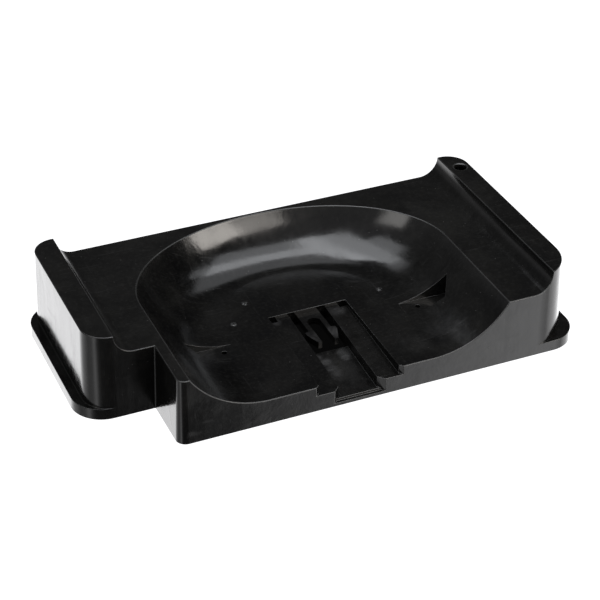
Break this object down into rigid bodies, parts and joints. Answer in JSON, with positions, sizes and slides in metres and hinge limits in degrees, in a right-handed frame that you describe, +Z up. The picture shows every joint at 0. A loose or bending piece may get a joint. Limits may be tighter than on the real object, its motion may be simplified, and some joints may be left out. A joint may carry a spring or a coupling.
{
  "type": "dished tray with snap-in channel",
  "caption": "Low black moulded tray with a broad dish, raised end ribs, end ledges, a set-back front corner, and a stepped front channel with a snap fork.",
  "frame": {"origin": "middle of the footprint over the end ledges, on the plane the tray stands on", "axes": "+Z up, +X along the tray towards the end with the rib hole, +Y towards the back, away from the open end of the channel"},
  "size_m": [0.4, 0.204, 0.0715],
  "materials": {
    "black_plastic": "glossy injection moulded black, lightly scuffed"
  },
  "bodies": {
    "tray": {"tray_shell": "black_plastic"},
    "prong_left": {"latch_prong_left": "black_plastic"},
    "prong_right": {"latch_prong_right": "black_plastic"}
  },
  "joints": [
    {"name": "prong_left_flex", "type": "hinge", "parent": "tray", "child": "prong_left", "pos_m": [-0.0025, -0.013, 0.01455], "axis": [0, 0, 1], "range_deg": [0, 6]},
    {"name": "prong_right_flex", "type": "hinge", "parent": "tray", "child": "prong_right", "pos_m": [0.0125, -0.013, 0.01455], "axis": [0, 0, -1], "range_deg": [0, 6]}
  ]
}
